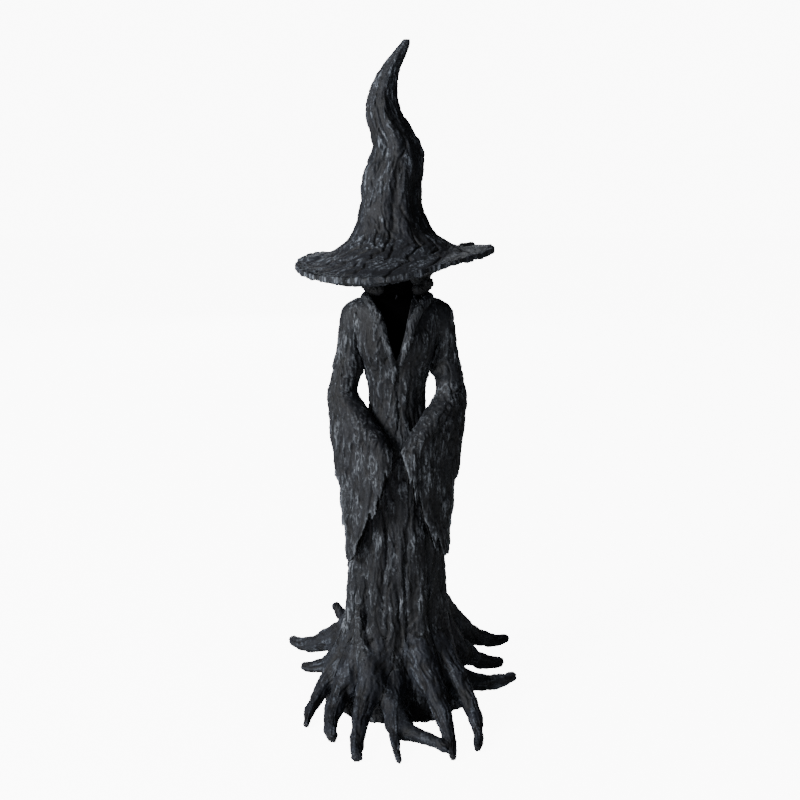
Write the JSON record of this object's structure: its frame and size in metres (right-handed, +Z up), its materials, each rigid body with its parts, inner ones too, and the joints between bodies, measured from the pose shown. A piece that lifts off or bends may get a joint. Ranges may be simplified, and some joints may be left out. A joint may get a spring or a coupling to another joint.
{
  "type": "animated witch figure",
  "caption": "Tabletop faceless witch figure in bark-textured resin with a crooked hat, bell sleeves and root feet; a battery drive inside the skirt turns the head and hat.",
  "frame": {"origin": "on the surface the figure stands on, under the axis of the neck shaft", "axes": "+Z up along the neck shaft, the figure faces -Y, +X is to the right as seen from the front"},
  "size_m": [0.1941, 0.2121, 0.5],
  "materials": {
    "bark_resin": "matte cast resin with pale dry-brushed high spots",
    "black_void": "dead matt black",
    "hair_resin": "matte cast resin",
    "base_plastic": "textured moulding",
    "pad_foam": "closed-cell foam",
    "screw_steel": "zinc plated",
    "shaft_steel": "ground",
    "bush_brass": "turned",
    "gearbox_plastic": "moulded",
    "gear_plastic": "natural acetal",
    "motor_can": "plated",
    "cell_wrap": "printed film",
    "board_green": "solder mask",
    "component_black": "moulded",
    "lead_pvc": "extruded"
  },
  "bodies": {
    "figure": {"collar_left": "bark_resin", "collar_right": "bark_resin", "front_body_shell": "bark_resin", "rear_body_shell": "bark_resin", "left_sleeve": "bark_resin", "right_sleeve": "bark_resin", "broken_root_stub": "bark_resin", "root_01": "bark_resin", "root_02": "bark_resin", "root_03": "bark_resin", "root_04": "bark_resin", "root_05": "bark_resin", "root_06": "bark_resin", "root_07": "bark_resin", "root_08": "bark_resin", "root_09": "bark_resin", "root_10": "bark_resin", "root_11": "bark_resin", "root_12": "bark_resin", "root_13": "bark_resin", "root_14": "bark_resin", "root_15": "bark_resin", "throat_liner": "black_void", "neck_bridge": "black_void", "base_plate": "base_plastic", "battery_tray": "base_plastic", "base_pad": "pad_foam", "base_screws": "screw_steel", "shell_screws": "screw_steel", "bridge_screws": "screw_steel", "gearbox_screws": "screw_steel", "tray_screws": "screw_steel", "idler_axle": "shaft_steel", "door_pins": "shaft_steel", "neck_bush": "bush_brass", "lower_bush": "bush_brass", "gearbox_base": "gearbox_plastic", "gearbox_cover": "gearbox_plastic", "motor": "motor_can", "power_switch": "motor_can", "battery_contacts": "motor_can", "battery_cells": "cell_wrap", "control_board": "board_green", "board_components": "component_black", "battery_leads": "lead_pvc", "motor_leads": "lead_pvc"},
    "head": {"hat": "bark_resin", "head_core": "black_void", "hair": "hair_resin", "neck_shaft": "shaft_steel", "thrust_collar": "bush_brass", "shaft_clip": "screw_steel", "sector_gear": "gear_plastic"},
    "idler": {"idler_gear": "gear_plastic"},
    "rotor": {"motor_pinion": "bush_brass", "motor_shaft": "shaft_steel"},
    "door": {"battery_door": "bark_resin"},
    "knob": {"switch_knob": "component_black"}
  },
  "joints": [
    {"name": "head_turn", "type": "hinge", "parent": "figure", "child": "head", "pos_m": [0, 0, 0.3], "axis": [0, 0, 1], "range_deg": [-30, 30]},
    {"name": "idler_spin", "type": "hinge", "parent": "figure", "child": "idler", "pos_m": [0.016, 0, 0.165], "axis": [0, 0, 1], "range_deg": [-91, 91]},
    {"name": "motor_spin", "type": "hinge", "parent": "figure", "child": "rotor", "pos_m": [0.01, 0.008, 0.17], "axis": [0, 0, 1], "range_deg": [-272, 272]},
    {"name": "door_tilt", "type": "hinge", "parent": "figure", "child": "door", "pos_m": [0, 0.0334, 0.0896], "axis": [-1, 0, 0], "range_deg": [0, 70]},
    {"name": "switch_slide", "type": "slide", "parent": "figure", "child": "knob", "axis": [1, 0, 0], "range_m": [0, 0.003]}
  ],
  "couplings": [
    {"joint": "idler_spin", "follows": "head_turn", "ratio": -3},
    {"joint": "motor_spin", "follows": "head_turn", "ratio": 9}
  ]
}
